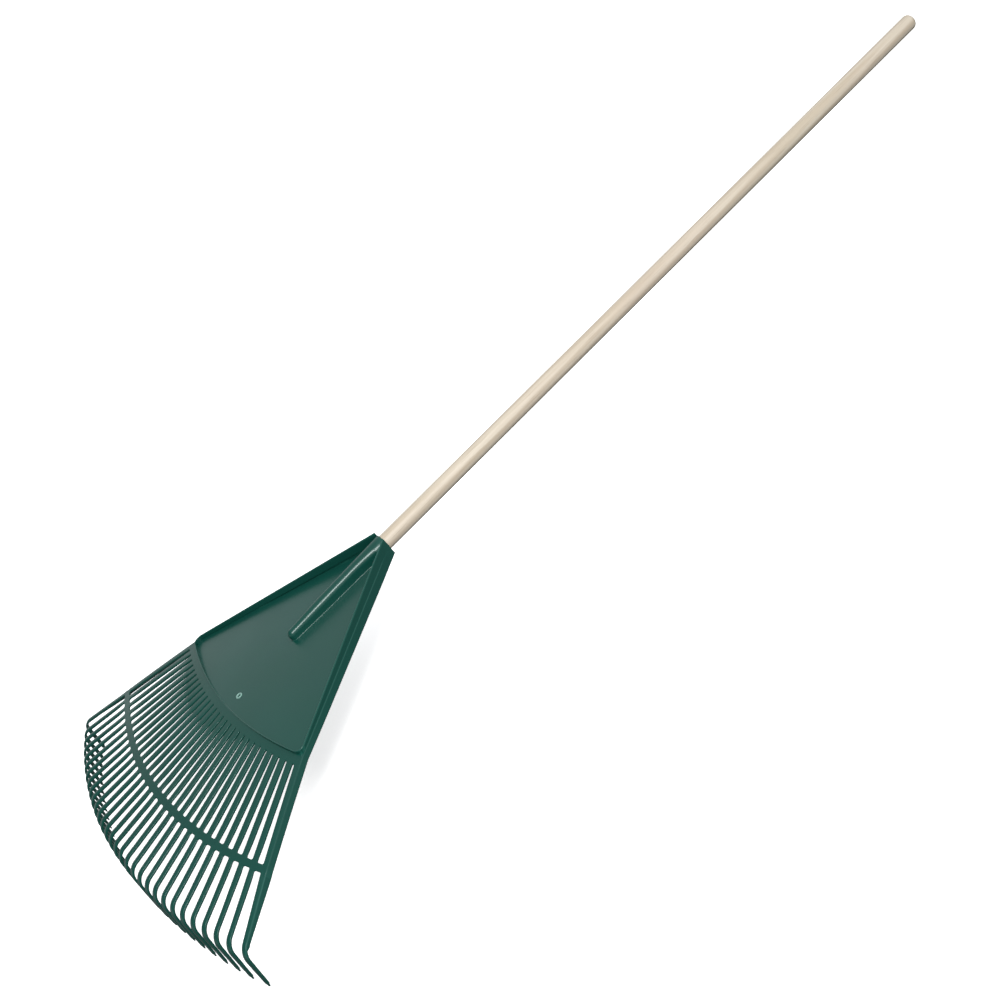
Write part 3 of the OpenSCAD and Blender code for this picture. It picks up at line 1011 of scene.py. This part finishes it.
def build_screw():
    """The pan-head screw, with a cross recess and a thread of plain grooves."""
    head_z = -HALF_MOUTH - SCREW_HEAD_H
    profile = [(head_z, 0.8), (head_z + 0.05, 1.8), (head_z + 0.25, 2.7), (head_z + 0.6, 3.4),
               (head_z + 1.1, 3.85), (head_z + 1.7, SCREW_HEAD_R), (-HALF_MOUTH - 0.3, SCREW_HEAD_R),
               (-HALF_MOUTH - 0.05, SCREW_HEAD_R - 0.2), (-HALF_MOUTH - 0.02, SCREW_R),
               (-HALF_MOUTH + 0.4, SCREW_R)]
    turns = 9
    for k in range(1, 2 * turns):
        z = lerp(-HALF_MOUTH + 0.6, SCREW_LEN - HALF_MOUTH - 1.5, k / (2 * turns))
        profile.append((z, SCREW_R if k % 2 else SCREW_R - 0.35))
    profile += [(SCREW_LEN - HALF_MOUTH - 1.0, SCREW_R - 0.35), (SCREW_LEN - HALF_MOUTH, 0.4)]
    obj = new_object("screw_pan_head", *lathe(profile, 48, False))
    slots = []
    for half_l, half_w in ((2.4, 0.6), (0.6, 2.4)):
        verts = []
        for z, taper in ((head_z - 0.5, 1.0), (head_z + 1.4, 0.72)):
            verts += [(-half_l * taper, -half_w * taper, z), (half_l * taper, -half_w * taper, z),
                      (half_l * taper, half_w * taper, z), (-half_l * taper, half_w * taper, z)]
        faces = [(0, 3, 2, 1), (4, 5, 6, 7), (0, 1, 5, 4), (1, 2, 6, 5), (2, 3, 7, 6), (3, 0, 4, 7)]
        slots.append(new_object("recess", verts, faces))
    boolean(obj, slots, "DIFFERENCE")
    obj.data.materials.clear()
    obj.data.materials.append(STEEL)
    obj.data.transform(Matrix.Translation((SCREW_X * MM, 0, 0)))
    shade(obj, 35)
    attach(obj, "head")
    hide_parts("handle_screw")


# ---------- Stage ----------

def area_light(name, place, target, size, power):
    data = bpy.data.lights.new(name, "AREA")
    data.shape = "RECTANGLE"
    data.size, data.size_y = size
    data.energy = power
    obj = bpy.data.objects.new(name, data)
    obj.location = place
    obj.rotation_mode = "QUATERNION"
    obj.rotation_quaternion = (Vector(target) - Vector(place)).to_track_quat("-Z", "Y")
    obj.visible_camera = False
    bpy.context.scene.collection.objects.link(obj)


def studio_world():
    """Even light round the horizon, weaker overhead, and dark below the floor."""
    world = bpy.data.worlds.new("studio")
    world.use_nodes = True
    tree = world.node_tree
    direction = tree.nodes.new("ShaderNodeTexCoord").outputs["Generated"]
    parts = tree.nodes.new("ShaderNodeSeparateXYZ")
    tree.links.new(direction, parts.inputs["Vector"])
    half = node(tree, "ShaderNodeMath", operation="MULTIPLY_ADD")
    half.inputs[1].default_value = 0.5
    half.inputs[2].default_value = 0.5
    tree.links.new(parts.outputs["Z"], half.inputs[0])
    colour = ramp(tree, half.outputs[0], [(0.0, (0.10, 0.11, 0.11)), (0.485, (0.26, 0.28, 0.28)),
                                          (0.498, (0.97, 0.98, 1.0)), (0.56, (0.93, 0.95, 0.97)),
                                          (0.70, (0.82, 0.84, 0.87)), (1.0, (0.62, 0.64, 0.66))])
    # A panel's edge: weaker high up on the tips' side, so that the tines are darker than the plate
    side = node(tree, "ShaderNodeMath", operation="MULTIPLY_ADD")
    side.inputs[1].default_value = 0.5
    side.inputs[2].default_value = 0.5
    tree.links.new(parts.outputs["X"], side.inputs[0])
    panel = ramp(tree, side.outputs[0], [(0.375, (0.22, 0.22, 0.22)), (0.485, (1, 1, 1))])
    high = ramp(tree, half.outputs[0], [(0.56, 0.0), (0.62, 1.0)])
    colour = mix(tree, high, colour, panel, "MULTIPLY")
    background = tree.nodes["Background"]
    tree.links.new(colour, background.inputs["Color"])
    background.inputs["Strength"].default_value = 1.0
    bpy.context.scene.world = world


def build_stage():
    z = CAD_BOX[0].z - FLOOR_GAP
    corners = [(sx * FLOOR_HALF_SIZE, sy * FLOOR_HALF_SIZE, z)
               for sx, sy in ((-1, -1), (1, -1), (1, 1), (-1, 1))]
    mesh = bpy.data.meshes.new("floor")
    mesh.from_pydata(corners, [], [(0, 1, 2, 3)])
    floor = bpy.data.objects.new("floor", mesh)
    bpy.context.scene.collection.objects.link(floor)
    mesh.materials.append(floor_material())
    # The floor throws no light back, so the walls that face the front stay dark
    floor.visible_diffuse = False
    floor.visible_glossy = False
    studio_world()
    area_light("key", (-0.15, -2.1, 2.45), (-0.08, 0, 0), (1.6, 0.5), 104)
    bpy.context.scene.view_settings.view_transform = "Standard"


def build_camera():
    data = bpy.data.cameras.new("camera")
    data.sensor_width = 36
    data.lens = 61.14
    data.clip_start, data.clip_end = 0.05, 1000
    camera = bpy.data.objects.new("camera", data)
    place, target = Vector((-0.2071, -1.8862, 1.1111)), Vector((0.1290, -0.1247, 0.0))
    camera.location = place
    camera.rotation_mode = "QUATERNION"
    roll = Quaternion((0, 0, 1), math.radians(-39.34))
    camera.rotation_quaternion = (target - place).to_track_quat("-Z", "Y") @ roll
    bpy.context.scene.collection.objects.link(camera)
    bpy.context.scene.camera = camera


build_camera()
build_stage()
build_head()
build_gate_ring()
for tine in range(TINES):
    build_tine(tine)
build_handle()
build_screw()
